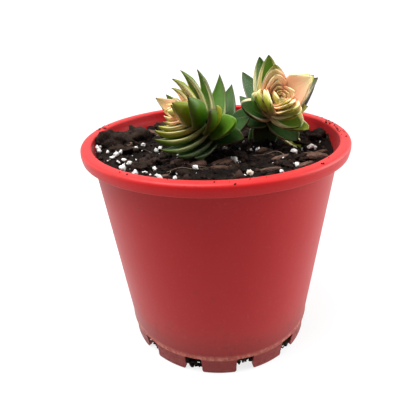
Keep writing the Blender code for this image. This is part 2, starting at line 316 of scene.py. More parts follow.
def pot_plastic():
    """Red moulded plastic: pale bloom and dust, darker smudges, soil specks on the rim and dirty feet;
    painted shade darkens the lower wall and painted light brightens the rim's top.
    """
    f = Finish("pot_plastic", Specular_IOR_Level=0.2, Sheen_Weight=0.05, Sheen_Roughness=0.45)
    at = f.place()
    height = at.part(2)
    cloud = f.noise(28.0, 4.0, at=at)
    blotch = f.noise(90.0, 5.0, 0.65, at=at).between(0.52, 0.72)
    red = f.mix((0.31, 0.005, 0.003), (0.38, 0.010, 0.007), cloud)
    red = f.mix(red, (0.28, 0.006, 0.005), blotch * 0.35)
    smudge = f.noise(330.0, 4.0, 0.6, at=at).between(0.50, 0.64)
    smudge = smudge * f.noise(45.0, 2.0, at=at).between(0.42, 0.58)
    red = f.mix(red, (0.20, 0.004, 0.003), smudge * 0.5)
    # Painted shade: the wall is darker towards the bottom, as if the light came from above.
    deep = 1 - height.between(6.0 * MM, 32.0 * MM)
    red = f.mix(red, (0.16, 0.002, 0.0015), deep * 0.7)
    rim = height.between((BAND - 0.2) * MM, (BAND + 0.4) * MM)
    red = f.mix(red, (0.46, 0.005, 0.007), rim * 0.9)
    # Painted light: the top of the rim is a lighter red, for the overhead light and broad highlight that
    # fall on it; the darker smudges on it are dirt.
    crest = height.between((POT_H - 2.0) * MM, (POT_H - 0.3) * MM)
    red = f.mix(red, (0.50, 0.016, 0.016), crest * 0.85)
    red = f.mix(red, (0.34, 0.006, 0.006), crest * smudge * 0.7)
    x, y = at.part(0), at.part(1)
    inner = 1 - ((x * x + y * y) ** 0.5).between((INNER - 0.1) * MM, (INNER + 0.5) * MM)
    inner = inner * height.between(20.0 * MM, 40.0 * MM)
    red = f.mix(red, (0.36, 0.001, 0.003), inner * 0.95)
    feet = 1 - height.between((LEDGE_Z - 0.4) * MM, (LEDGE_Z + 0.3) * MM)
    grime = f.noise(420.0, 6.0, 0.7, at=at).between(0.42, 0.68)
    red = f.mix(red, (0.15, 0.020, 0.014), feet * (0.3 + 0.5 * grime))
    line = height.between((LEDGE_Z - 1.4) * MM, (LEDGE_Z - 0.2) * MM)
    line = line * (1 - height.between((LEDGE_Z + 0.2) * MM, (LEDGE_Z + 3.0) * MM))
    red = f.mix(red, (0.50, 0.19, 0.14), line * (0.25 + 0.6 * grime))
    dust = f.noise(700.0, 4.0, 0.7, at=at).between(0.55, 0.75)
    red = f.mix(red, (0.62, 0.28, 0.22), dust * 0.05)
    brushed = f.noise(1.0, 4.0, 0.65, at=f.stretch(at, (420.0, 420.0, 28.0))).between(0.55, 0.8)
    low = 1 - height.between(20.0 * MM, 60.0 * MM)
    red = f.mix(red, (0.55, 0.20, 0.16), brushed * (0.05 + 0.22 * low) * blotch.between(0.0, 0.4))
    specks = 1 - f.cells(170.0, at=at).between(0.05, 0.10)
    some = f.noise(30.0, 2.0, at=at).between(0.44, 0.56)
    red = f.mix(red, (0.07, 0.03, 0.025), specks * some * 0.85)
    f.set(Base_Color=red)
    f.set(Roughness=0.36 + 0.16 * cloud + 0.3 * feet * grime)
    waves = f.noise(60.0, 3.0, at=at) * 0.6 + f.noise(900.0, 2.0, at=at) * 0.08
    f.bump(waves + dust * 0.1, 0.4 * MM, 0.25)
    return f.made


def build_pot():
    outside, inside = pot_profile()
    profile = outside + inside
    mesh = bpy.data.meshes.new("pot_section")
    links = [(i, (i + 1) % len(profile)) for i in range(len(profile)) if i != len(outside) - 1]
    mesh.from_pydata([(r * MM, 0.0, z * MM) for r, z in profile], links, [])
    blank = in_scene(bpy.data.objects.new("pot_blank", mesh))
    turned = blank.modifiers.new("turn", "SCREW")
    turned.axis = "Z"
    turned.steps = turned.render_steps = 240
    turned.use_merge_vertices = True
    turned.merge_threshold = 0.05 * MM
    cut = blank.modifiers.new("notches", "BOOLEAN")
    cut.object = notch_cutters()
    cut.solver = "EXACT"
    mesh = applied(blank)
    bpy.data.objects.remove(bpy.data.objects["notch_cutters"])
    mesh.set_sharp_from_angle(angle=math.radians(32))
    show("pot_shell", mesh, pot_plastic(), ["pot"])


# ---- soil ----
def ground(x, y):
    """Height of the packed soil under its crumbs, the same swell as the solid plug."""
    lump = noise.noise(Vector((x * 0.075 + 3.1, y * 0.075 + 1.7, 0.4))) * 2.4
    lump += noise.noise(Vector((x * 0.19, y * 0.19, 5.2))) * 0.9
    left = 3.0 * math.exp(-((x + 50) ** 2 + (y - 6) ** 2) / 260.0)
    hollow = 1.6 * math.exp(-((x + 8) ** 2 + (y + 16) ** 2) / 420.0)
    return SOIL_Z + lump + left - hollow


def rough_ground(x, y):
    fine = noise.noise(Vector((x * 0.45, y * 0.45, 1.0))) * 0.9
    fine += noise.noise(Vector((x * 1.1, y * 1.1, 2.0))) * 0.45
    fine += noise.noise(Vector((x * 2.6, y * 2.6, 3.0))) * 0.2
    return ground(x, y) + fine


def potting_mix():
    """Dark, damp peat and bark fines, with painted light making the left side lighter."""
    f = Finish("potting_mix", Specular_IOR_Level=0.10)
    at = f.place()
    tone = f.attribute("tone").part(0)
    grain = f.noise(1400.0, 5.0, 0.7, at=at)
    patch = f.noise(120.0, 4.0, 0.6, at=at).between(0.4, 0.7)
    colour = f.mix((0.003, 0.0018, 0.0013), (0.013, 0.0075, 0.0055), grain.between(0.4, 0.75))
    colour = f.mix(colour, (0.030, 0.017, 0.012), patch * 0.3)
    # Painted light: the soil on the left is lighter, where the light from the upper left falls on it.
    left = 1 - at.part(0).between(-58.0 * MM, -10.0 * MM)
    colour = f.mix(colour, (0.055, 0.036, 0.028), left * grain.between(0.45, 0.7) * 0.55)
    colour = f.mix(colour, (0.09, 0.050, 0.036), tone * 0.7)
    f.set(Base_Color=colour, Roughness=0.95 - 0.35 * grain)
    f.bump(grain + f.noise(4200.0, 3.0, at=at) * 0.6, 0.7 * MM, 1.0)
    return f.made


def perlite_white():
    """Crumbly white volcanic glass with grey pits and a little peat stain."""
    f = Finish("perlite_white", Specular_IOR_Level=0.2)
    at = f.place()
    pits = f.cells(1700.0, at=at).between(0.05, 0.35)
    stain = f.noise(500.0, 4.0, 0.7, at=at).between(0.5, 0.75)
    colour = f.mix((0.30, 0.28, 0.26), (0.78, 0.77, 0.75), pits)
    colour = f.mix(colour, (0.24, 0.17, 0.12), stain * 0.45)
    tone = f.attribute("tone").part(0)
    f.set(Base_Color=f.mix(colour, (0.50, 0.36, 0.24), tone * 0.7), Roughness=0.95 - 0.2 * pits)
    f.bump(pits + f.noise(2500.0, 3.0, at=at) * 0.6, 0.4 * MM, 0.8)
    return f.made


def bark_brown():
    """Weathered bark: long fibres, darker cracks, a pinkish-brown torn face."""
    f = Finish("bark_brown", Specular_IOR_Level=0.25)
    grain_at = f.attribute("grain")
    fibre = f.noise(1.0, 6.0, 0.7, at=f.stretch(grain_at, (0.35, 5.5, 5.5)), warp=0.4)
    crack = f.noise(1.0, 3.0, 0.6, at=f.stretch(grain_at, (0.25, 2.6, 2.6))).between(0.30, 0.45)
    tone = f.attribute("tone").part(0)
    colour = f.mix((0.085, 0.042, 0.028), (0.26, 0.145, 0.10), fibre.between(0.35, 0.68))
    colour = f.mix(colour, (0.36, 0.25, 0.19), fibre.between(0.6, 0.75) * 0.5)
    colour = f.mix(colour, (0.02, 0.012, 0.009), tone * 0.75)
    colour = f.mix((0.012, 0.007, 0.005), colour, crack)
    f.set(Base_Color=colour, Roughness=0.7 + 0.25 * fibre)
    f.bump(fibre + crack * 0.8, 0.6 * MM, 0.8)
    return f.made


def soil_plug(material):
    """The soil down to the pot's floor: smooth rings up the side, then a rough top of closing rings."""
    spokes, rings = 220, 110
    turns = [2 * math.pi * j / spokes for j in range(spokes)]
    shaped = bmesh.new()

    def ring(radius, height):
        spots = [(radius * math.cos(t), radius * math.sin(t)) for t in turns]
        return [shaped.verts.new(Vector((x, y, height(x, y))) * MM) for x, y in spots]

    floor = FLOOR_Z + FLOOR + 0.2
    rows = [ring(BASE - 4.0, lambda x, y: floor)]
    for z in (9.0, 60.0):
        rows.append(ring(wall_radius(z) - WALL - 0.2, lambda x, y: z))
    top_radius = wall_radius(SOIL_Z) - WALL - 0.15
    for i in range(rings):
        rows.append(ring(top_radius * (1 - i / rings), rough_ground))
    middle = shaped.verts.new(Vector((0, 0, rough_ground(0, 0))) * MM)
    shaped.faces.new(list(reversed(rows[0])))
    join_rings(shaped, rows)
    for j in range(spokes):
        shaped.faces.new((rows[-1][j], rows[-1][(j + 1) % spokes], middle))
    show("soil_bed", finished_mesh(shaped, "soil_bed"), material, ["soil"])


def points_and_faces(shaped):
    """What a mesh in the making holds, as plain points and faces; the mesh goes."""
    points = [v.co.copy() for v in shaped.verts]
    faces = [[v.index for v in face.verts] for face in shaped.faces]
    shaped.free()
    return points, faces


def lump_shape(rng, detail):
    """An irregular clod of unit size, as points and faces."""
    shaped = bmesh.new()
    bmesh.ops.create_icosphere(shaped, subdivisions=detail, radius=0.5)
    seed = Vector((rng.uniform(0, 99), rng.uniform(0, 99), rng.uniform(0, 99)))
    flat = Vector((rng.uniform(0.7, 1.2), rng.uniform(0.6, 1.0), rng.uniform(0.45, 0.8)))
    for v in shaped.verts:
        v.co *= 1 + 0.55 * noise.noise(v.co * 2.3 + seed) + 0.25 * noise.noise(v.co * 6.0 + seed)
        v.co = v.co * flat
    return points_and_faces(shaped)


class Heap:
    """Many small lumps gathered into one mesh, each with its own tone."""

    def __init__(self, seed):
        self.rng = random.Random(seed)
        self.points, self.faces, self.tones = [], [], []

    def drop(self, shape, place, size, tone=0.0, turn=None):
        """One lump at a place; size is one length or three, and without a turn it falls at random."""
        if turn is None:
            angle = self.rng.uniform(0, 6.3)
            axis = Vector([self.rng.uniform(-1, 1) for _ in range(3)])
            turn = Matrix.Rotation(angle, 3, axis.normalized())
        points, faces = shape
        start = len(self.points)
        size = Vector(size) if isinstance(size, tuple) else Vector((size, size, size))
        self.points += [(Vector(place) + turn @ (p * size)) * MM for p in points]
        self.faces += [[start + i for i in face] for face in faces]
        self.tones += [tone] * len(points)

    def show(self, name, material):
        mesh = bpy.data.meshes.new(name)
        mesh.from_pydata(self.points, [], self.faces)
        mesh.shade_smooth()
        mesh.attributes.new("tone", "FLOAT", "POINT").data.foreach_set("value", self.tones)
        show(name, mesh, material)


def spread(rng, most):
    """A random spot on the soil."""
    radius, turn = most * math.sqrt(rng.random()), rng.uniform(0, 2 * math.pi)
    return radius * math.cos(turn), radius * math.sin(turn)


# Where crumbs of soil lie on the rim: compass from and to in degrees, and how many.
SPILLS = ((-14, 26, 44), (154, 178, 26), (200, 260, 7), (262, 330, 9), (60, 130, 12))


def dirty_rim(material):
    """Crumbs left on the rim from filling the pot."""
    heap = Heap(29)
    rng = heap.rng
    crumbs = [lump_shape(rng, 1) for _ in range(6)]
    for first, last, count in SPILLS:
        for _ in range(count):
            turn = math.radians(rng.triangular(first, last))
            radius = INNER + rng.uniform(0.4, 4.4)
            size = 0.45 + 1.0 * rng.random() ** 2
            z = POT_H - (0.35 if radius > RIM - 1.4 else 0.0)
            place = (radius * math.cos(turn), radius * math.sin(turn), z)
            heap.drop(rng.choice(crumbs), place, size, 0.3 * rng.random())
    heap.show("rim_crumbs", material)


# How far down the peat reaches in each drainage notch, round from the front right.
NOTCH_FILL = (4.6, 1.2, 3.0, 2.0, 4.0, 3.0, 1.0, 4.0, 2.0, 3.0, 3.4, 0.4)
LUMPS_IN_A_NOTCH = 90


def fill_notches(material, grit):
    """Peat that has worked down into the drainage notches, with the odd grain of perlite."""
    peat, grains = Heap(19), Heap(23)
    rng = peat.rng
    crumbs = [lump_shape(rng, 2) for _ in range(8)]
    for i, lowest in enumerate(NOTCH_FILL):
        turn = math.radians(NOTCH_TURN + i * 360.0 / NOTCHES)
        out = Vector((math.sin(turn), -math.cos(turn), 0))
        side = Vector((math.cos(turn), math.sin(turn), 0))
        for k in range(LUMPS_IN_A_NOTCH):
            across, z = rng.uniform(-4.4, 4.4), rng.uniform(lowest + 0.5, 9.6)
            size = rng.uniform(1.4, 3.2)
            spot = out * (BASE - rng.uniform(1.3, 3.6)) + side * across
            spot.z = max(z, 0.7 * size)
            peat.drop(rng.choice(crumbs), spot, size, rng.random() ** 4)
            if k % 45 == 7:
                grains.drop(rng.choice(crumbs), spot + out * 0.9, 1.3)
        tip = out * (BASE - 2.0) + side * rng.uniform(-2.5, 2.5)
        tip.z = max(lowest + 0.4, 1.8)
        peat.drop(rng.choice(crumbs), tip, 2.6, 0.1)
    peat.show("notch_soil", material)
    grains.show("notch_perlite", grit)


FINE_CRUMBS = 2600
COARSE_CRUMBS = 130
BITS_ON_A_CLOD = 7

# Large clods of packed peat as (x, y, length, width, height).
CLODS = (
    (-52, 1, 15, 13, 13), (-54, 9, 10, 9, 11), (-42, 14, 15, 12, 13), (-40, 22, 13, 10, 8),
    (-49, 21, 10, 9, 8), (-31.5, -16, 11, 9, 6), (-35, -23, 9, 8, 4.5), (-46, -6, 8, 7, 5),
    (-26, -12, 8, 7, 5), (52, 7, 13, 10, 8), (44, 4, 11, 9, 6.5), (48, 15, 10, 9, 7), (36, -2, 9, 8, 5),
    (40, -18, 7, 6, 4), (26, -12, 8, 7, 4), (-22, -22, 8, 6, 4), (8, -26, 8, 6, 3.5),
    (-14, -30, 7, 6, 3.5), (30, -26, 8, 6, 3.5), (14, 22, 12, 9, 6), (-12, 40, 14, 11, 6),
    (24, 44, 12, 10, 6), (38, 30, 12, 9, 6), (-30, 38, 12, 10, 7), (12, -10, 8, 6, 3.5),
)


def pile_crumbs(heap):
    """Fine and coarse crumbs all over the bed, and clods that carry crumbs of their own."""
    rng = heap.rng
    small = [lump_shape(rng, 1) for _ in range(8)]
    large = [lump_shape(rng, 2) for _ in range(8)]
    for _ in range(FINE_CRUMBS):
        x, y = spread(rng, BED)
        size = 0.6 + 2.4 * rng.random() ** 3
        place = (x, y, rough_ground(x, y) + 0.1 * size)
        heap.drop(rng.choice(small), place, size, rng.random() ** 3)
    for _ in range(COARSE_CRUMBS):
        x, y = spread(rng, BED - 2)
        size = 3.0 + 3.5 * rng.random() ** 2
        place = (x, y, ground(x, y) + 0.15 * size)
        heap.drop(rng.choice(large), place, size, rng.random() ** 3)
    chunky = [lump_shape(rng, 4) for _ in range(6)]
    for x, y, length, width, height in CLODS:
        turn = Matrix.Rotation(rng.uniform(0, 6.3), 3, "Z")
        place = (x, y, ground(x, y) + 0.1 * height)
        size = (1.15 * length, 1.15 * width, 1.3 * height)
        heap.drop(rng.choice(chunky), place, size, 0.15 + 0.25 * rng.random(), turn)
        for _ in range(BITS_ON_A_CLOD):
            along, across = rng.uniform(-0.5, 0.5), rng.uniform(-0.5, 0.5)
            lift = height * 0.45 * (1 - 2 * along ** 2 - 2 * across ** 2)
            bit = rng.uniform(1.2, 3.0)
            place = (x + along * length, y + across * width, ground(x, y) + lift)
            heap.drop(rng.choice(large), place, bit, rng.random() ** 2 * 0.6)


def build_soil():
    mix = potting_mix()
    soil_plug(mix)
    heap = Heap(7)
    pile_crumbs(heap)
    heap.show("soil_crumbs", mix)
    dirty_rim(mix)
    fill_notches(mix, perlite_white())


# Perlite grains as (x, y, size): the larger ones, each with a place of its own, and which are beige.
PERLITE = (
    (-28, 1.5, 2.2), (-17.5, -9.5, 2.6), (5, -2, 2.2), (12.5, -3, 1.6), (28.5, 3.5, 1.6),
    (37, -8.5, 1.8), (-58, -4.5, 3.0), (-57, -7, 2.4), (-57.5, -1.5, 2.0), (-50, 13, 2.6),
    (-47.5, -12, 2.6), (-45.5, -10, 2.0), (-49, -14, 2.0), (-42, -25.5, 3.2), (-39.5, -21.5, 2.4),
    (-43, -16.5, 2.2), (-45, -19, 1.8), (-35.5, -31, 2.8), (-31.5, -29, 2.0), (-24.5, -35.5, 3.2),
    (-29.5, -2, 2.4), (-28, -23.5, 2.0), (-36.5, 1.5, 2.2), (-39, -5, 2.2), (-8.5, -29.5, 2.8),
    (-9, -26.5, 2.0), (-17.5, -36, 2.0), (9, -16.5, 3.4), (-4, -6, 2.6), (17, -5, 2.4), (20.5, -6, 1.8),
    (22, -7, 2.6), (10, -37, 2.2), (14.5, -36, 3.2), (47, -6, 3.4), (44.5, -8, 2.6), (49.5, -4.5, 2.4),
    (42.5, -9.5, 2.0), (37, -15.5, 2.6), (36.5, -26, 2.2), (28, -36, 1.8), (-52, -10, 1.6),
    (-20, -28, 1.4), (-12, 24, 2.2), (8, 34, 2.6), (30, 28, 2.0), (-25, 35, 1.8), (46, 18, 2.4),
    (-46, 28, 1.6), (20, 46, 2.2),
)
BEIGE = {(14.5, -36, 3.2), (-50, 13, 2.6)}
SMALL_GRAINS = 70

# Bark chips by node, then loose splinters: centre, length, width, thickness, turn, tilt, how dark.
CHIPS = {
    "bark_front": (4.0, -16.5, 11.5, 6.0, 2.2, 15, 9, 0.0),
    "bark_right": (47.0, -15.5, 13.0, 5.5, 2.3, 12, -8, 0.1),
    "bark_left": (-44.0, 14.0, 13.0, 7.0, 2.8, 30, 14, 0.75),
    "bark_back": (-34.0, 24.0, 12.0, 7.0, 3.0, -20, -12, 0.7),
}
SPLINTERS = (
    (-44, -2, 7, 2.6, 1.8, 62, 14, 0.1), (-9.5, -19.5, 10, 6, 2.6, 20, 8, 0.5),
    (-16.5, -19, 9, 4.5, 2.4, -12, 8, 0.7), (-16, -3.5, 8, 3, 1.6, 10, 4, 0.8),
    (-38, 22.5, 9, 6, 3.2, 40, 18, 0.35), (30, -20, 9, 2.2, 1.4, 25, 4, 0.2),
    (40, -24, 10, 2.6, 1.4, 28, 6, 0.25), (-24, -31, 7, 2.6, 1.4, 20, 5, 0.5),
    (2, -26, 8, 2.4, 1.4, -12, 4, 0.5), (24, -32, 9, 2.6, 1.5, 8, 3, 0.55),
    (-6, 30, 10, 4, 2.2, 50, 8, 0.5), (50, -10, 8, 1.6, 1.0, 14, 6, 0.3),
    (28, 38, 9, 4, 2.4, -60, 9, 0.6), (-36, -24, 6, 2.2, 1.4, -50, 9, 0.6),
    (8, 42, 12, 5, 2.6, 5, 9, 0.3),
)


def chip_shape(rng, length, width, thick):
    """A torn piece of bark: a slab with ragged ends, split along its grain."""
    shaped = bmesh.new()
    bmesh.ops.create_grid(shaped, x_segments=26, y_segments=12, size=0.5)
    seed = Vector((rng.uniform(0, 99), rng.uniform(0, 99), 0))
    for v in shaped.verts:
        x, y = v.co.x * 2, v.co.y * 2
        torn = noise.noise(Vector((y * 2.2, math.copysign(3, x), 0)) + seed)
        ragged = 1 + 0.22 * torn * abs(x) ** 3
        uneven = noise.noise(Vector((x * 1.4, math.copysign(2, y), 1)) + seed)
        waist = 1 - 0.35 * abs(x) ** 2.5 + 0.25 * uneven
        v.co.x = x * 0.5 * length * ragged
        v.co.y = y * 0.5 * width * waist
        ridge = noise.noise(Vector((v.co.x * 0.25, v.co.y * 1.9, 2)) + seed)
        v.co.z = thick * (0.32 * (1 - abs(x) ** 4) * (1 - abs(y) ** 4) ** 0.5 + 0.28 * ridge)
    pulled = bmesh.ops.extrude_face_region(shaped, geom=list(shaped.faces))["geom"]
    low = [v for v in pulled if isinstance(v, bmesh.types.BMVert)]
    for v in low:
        v.co.z -= thick * (0.55 + 0.15 * noise.noise(v.co * 0.6 + seed))
    bmesh.ops.recalc_face_normals(shaped, faces=shaped.faces)
    return points_and_faces(shaped)


def lay_chip(rng, x, y, length, width, thick, turn, tilt, dark):
    """A chip's placed points, its points as cut, its faces and its tone."""
    points, faces = chip_shape(rng, length, width, thick)
    spin = Matrix.Rotation(math.radians(turn), 4, "Z") @ Matrix.Rotation(math.radians(-tilt), 4, "Y")
    place = Matrix.Translation((x, y, ground(x, y) + 0.35 * thick)) @ spin
    return [(place @ p) * MM for p in points], points, faces, dark


def show_chips(rng, name, chips, material, nodes=()):
    """Joins chips into one mesh, each with its own stretch of grain."""
    placed, grain, faces, tones = [], [], [], []
    for spots, cut, polygons, dark in chips:
        faces += [[len(placed) + i for i in face] for face in polygons]
        shift = Vector((rng.uniform(0, 40), 0, 0))
        placed += spots
        for p in cut:
            grain.extend(p + shift)
        tones += [dark] * len(cut)
    mesh = bpy.data.meshes.new(name)
    mesh.from_pydata(placed, [], faces)
    mesh.shade_smooth()
    mesh.set_sharp_from_angle(angle=math.radians(40))
    mesh.attributes.new("grain", "FLOAT_VECTOR", "POINT").data.foreach_set("vector", grain)
    mesh.attributes.new("tone", "FLOAT", "POINT").data.foreach_set("value", tones)
    show(name, mesh, material, nodes)


def build_bark():
    rng = random.Random(31)
    material = bark_brown()
    chips = {node: lay_chip(rng, *row) for node, row in CHIPS.items()}
    splinters = [lay_chip(rng, *row) for row in SPLINTERS]
    for node, chip in chips.items():
        show_chips(rng, "chip_" + node, [chip], material, [node])
    show_chips(rng, "chip_splinters", splinters, material)


def build_perlite():
    heap = Heap(11)
    rng = heap.rng
    shapes = [lump_shape(rng, 3) for _ in range(7)]
    for grain in PERLITE:
        x, y, size = grain
        tone = 1.0 if grain in BEIGE else 0.0
        heap.drop(rng.choice(shapes), (x, y, rough_ground(x, y) + 0.42 * size), size * 1.15, tone)
        for _ in range(rng.choice((0, 0, 1, 2))):
            near_x, near_y = x + rng.uniform(-3, 3), y + rng.uniform(-3, 3)
            bit = rng.uniform(0.5, 1.1)
            place = (near_x, near_y, rough_ground(near_x, near_y) + 0.6 * bit)
            heap.drop(rng.choice(shapes), place, bit)
    for _ in range(SMALL_GRAINS):
        x, y = spread(rng, BED - 2)
        size = 0.5 + 0.9 * rng.random() ** 2
        heap.drop(rng.choice(shapes), (x, y, rough_ground(x, y) + 0.5 * size), size, rng.random() * 0.4)
    heap.show("perlite", perlite_white())


# Root fibres as points on the soil, height above it in the third place, and their thickness.
FIBRES = (
    (((-3, -3, 3), (-6, -7, 4), (-9, -11, 3), (-13, -15, 1.5), (-17, -17, 0.6)), 0.22),
    (((-14, -21, 0.6), (-8, -24, 1.2), (-1, -24, 0.8), (6, -26, 1.0), (12, -25, 0.4)), 0.18),
    (((-22, -27, 0.5), (-16, -26, 1.4), (-10, -28, 1.0), (-3, -27, 0.5)), 0.16),
    (((18, -12, 0.4), (24, -15, 1.4), (29, -14, 1.2), (33, -17, 0.3)), 0.16),
    (((-44, -3, 0.3), (-40, -6, 1.2), (-35, -5, 1.0), (-31, -8, 0.3)), 0.15),
    (((-10, 20, 0.3), (-2, 24, 1.6), (6, 22, 1.2), (12, 26, 0.3)), 0.18),
)


def build_fibres():
    f = Finish("root_fibre", Roughness=0.8)
    at = f.place()
    f.set(Base_Color=f.mix((0.10, 0.06, 0.035), (0.28, 0.20, 0.13), f.noise(600.0, 3.0, at=at)))
    for i, (route, thick) in enumerate(FIBRES):
        curve = bpy.data.curves.new(f"fibre_{i}", "CURVE")
        curve.dimensions = "3D"
        curve.bevel_depth = thick * MM
        curve.bevel_resolution = 2
        curve.use_fill_caps = True
        line = curve.splines.new("BEZIER")
        line.bezier_points.add(len(route) - 1)
        for knot, (x, y, lift) in zip(line.bezier_points, route):
            knot.co = Vector((x, y, rough_ground(x, y) + lift)) * MM
            knot.handle_left_type = knot.handle_right_type = "AUTO"
            knot.radius = 1.0 - 0.5 * (knot.co.x * 37 % 1)
        line.resolution_u = 8
        mesh = applied(in_scene(bpy.data.objects.new("fibre_helper", curve)))
        show(f"root_fibre_{i}", mesh, f.made)


# ---- leaves ----
def heading(elevation, compass):
    e, c = math.radians(elevation), math.radians(compass)
    return Vector((math.cos(e) * math.cos(c), math.cos(e) * math.sin(c), math.sin(e)))


class Stem:
    """The bent centre line of one head, from the soil to the tip."""

    def __init__(self, head):
        self.head, self.steps = head, 40
        start, end = heading(*head["start"]), heading(*head["end"])
        self.ways = [start.lerp(end, i / self.steps).normalized() for i in range(self.steps + 1)]
        self.points = [Vector((*head["foot"], SOIL_Z))]
        stride = head["stem"] / self.steps / 2
        for i in range(self.steps):
            self.points.append(self.points[-1] + (self.ways[i] + self.ways[i + 1]) * stride)

    def at(self, share):
        """Where the centre line is at a share of its length, and which way it runs there."""
        share = min(max(share, 0.0), 1.0) * self.steps
        i = min(int(share), self.steps - 1)
        way = self.ways[i].lerp(self.ways[i + 1], share - i)
        return self.points[i].lerp(self.points[i + 1], share - i), way.normalized()

    def share(self, count):
        """How far up the stem the leaves so many pairs down from the tip stand."""
        return 1 - count * self.head["step"] / self.head["stem"]

    def radius_at(self, count):
        return 2.3 - 1.4 * max(self.share(count), 0.0)

    def node(self, count, rank, swing=0.0):
        """The frame a leaf grows in, so many pairs down from the tip."""
        middle, way = self.at(self.share(count))
        up = (Vector((0, 0, 1)) - way * way.z).normalized()
        turn = math.radians(self.head["twist"] + swing + RANK_TURN[rank])
        out = up * math.cos(turn) + way.cross(up) * math.sin(turn)
        basis = Matrix((out, way.cross(out), way)).transposed().to_4x4()
        return Matrix.Translation(middle) @ basis


# How each rank's leaves are cut: half width, where they are widest, how far they stay broad, how
# blunt they end, thickness and curl.
CUT = {
    "left": {
        "up": (5.0, 0.20, 1.25, 0.95, 3.0, 44.0), "down": (6.0, 0.30, 1.30, 0.92, 3.4, 56.0),
        "front": (7.0, 0.30, 1.45, 0.88, 3.0, 44.0), "back": (6.2, 0.30, 1.35, 0.90, 2.9, 40.0),
    },
    "right": {
        "up": (6.6, 0.42, 1.35, 0.85, 2.9, 34.0), "down": (7.4, 0.40, 1.9, 0.72, 3.0, 34.0),
        "right": (7.2, 0.48, 1.15, 0.92, 2.7, 24.0), "left": (7.2, 0.38, 2.1, 0.70, 3.0, 34.0),
    },
}
STATIONS = 30       # cross-sections along a leaf
AROUND = 26         # points round each of them


def leaf_outline(share, wide, full, blunt, power):
    """Half width of a leaf along its length: broad where it clasps the stem, then drawn out to a point."""
    clasp = 0.72 + 0.28 * min(share / full, 1.0) ** 0.8
    past = max(share - full, 0.0) / (1 - full)
    return wide * clasp * (1 - past ** blunt) ** power


def leaf_section(share, half, deep, wave):
    """One cross-section: for each point how far across, how high, and how near the leaf's back."""
    section = []
    for j in range(AROUND):
        turn = 2 * math.pi * j / AROUND
        c, z = math.cos(turn), math.sin(turn)
        y = math.copysign(abs(c) ** 0.72, c)
        ripple = 0.16 * math.sin(share * 8 + wave + 2 * y) * abs(y) ** 3
        groove = 0.05 * math.sin(y * 9 + wave) * (1 - abs(y)) * (1 - share)
        if z >= 0:
            rise = 0.5 * deep * z ** 0.75 * (1 - 0.35 * (1 - y * y))
        else:
            rise = -0.5 * deep * abs(z) ** 0.75 - 0.28 * deep * (1 - y * y) * abs(z)
        rise += 0.16 * half * y * y + ripple + groove - 0.4 * deep
        section.append((y, rise, 0.5 - 0.5 * z))
    return section


def leaf_body(stem, rank, count, name, stray):
    """Rings of one fleshy leaf in its node's frame: each point, and where it lies on the leaf."""
    head = stem.head
    more_rise, lean, more_length, broader = (*stray, 1.0)[:4]
    wide, full, blunt, power, fat, curl = CUT[head["name"]][head["ranks"][rank]]
    length = max(head["leaf"] * (1 - math.exp(-(count + 0.5) / head["fill"])) + more_length, 2.2)
    young, old = head["rise"]
    base = young + (old - young) * (max(count, 0.0) / PAIRS) ** head["bend"] + more_rise - curl / 2
    thick = fat * min(1.0, 0.4 + 0.2 * count)
    wide *= min(1.0, (length / (0.92 * head["leaf"])) ** 0.7) * broader
    wave = random.Random(name).uniform(0, 6)
    reach, climb, before, rings = stem.radius_at(count) * 0.4, 0.0, 0.0, []
    for i in range(STATIONS):
        share = (i / (STATIONS - 1)) ** 0.92
        halfway = math.radians(base + curl * (share + before) / 2)
        reach += length * (share - before) * math.cos(halfway)
        climb += length * (share - before) * math.sin(halfway)
        before = share
        angle = math.radians(base + curl * share)
        centre = Vector((reach, lean * share ** 2, climb))
        lift = Vector((-math.sin(angle), 0.0, math.cos(angle)))
        half = max(leaf_outline(share, wide, full, blunt, power), 0.06)
        tip = min((1.0 - share) / 0.26, 1.0)
        deep = thick * (1 - 0.42 * share ** 1.5) * (0.08 + 0.92 * tip ** 0.75)
        rings.append([
            (centre + Vector((0, half * y, 0)) + lift * rise, (y, share, back))
            for y, rise, back in leaf_section(share, half, deep, wave)
        ])
    return rings


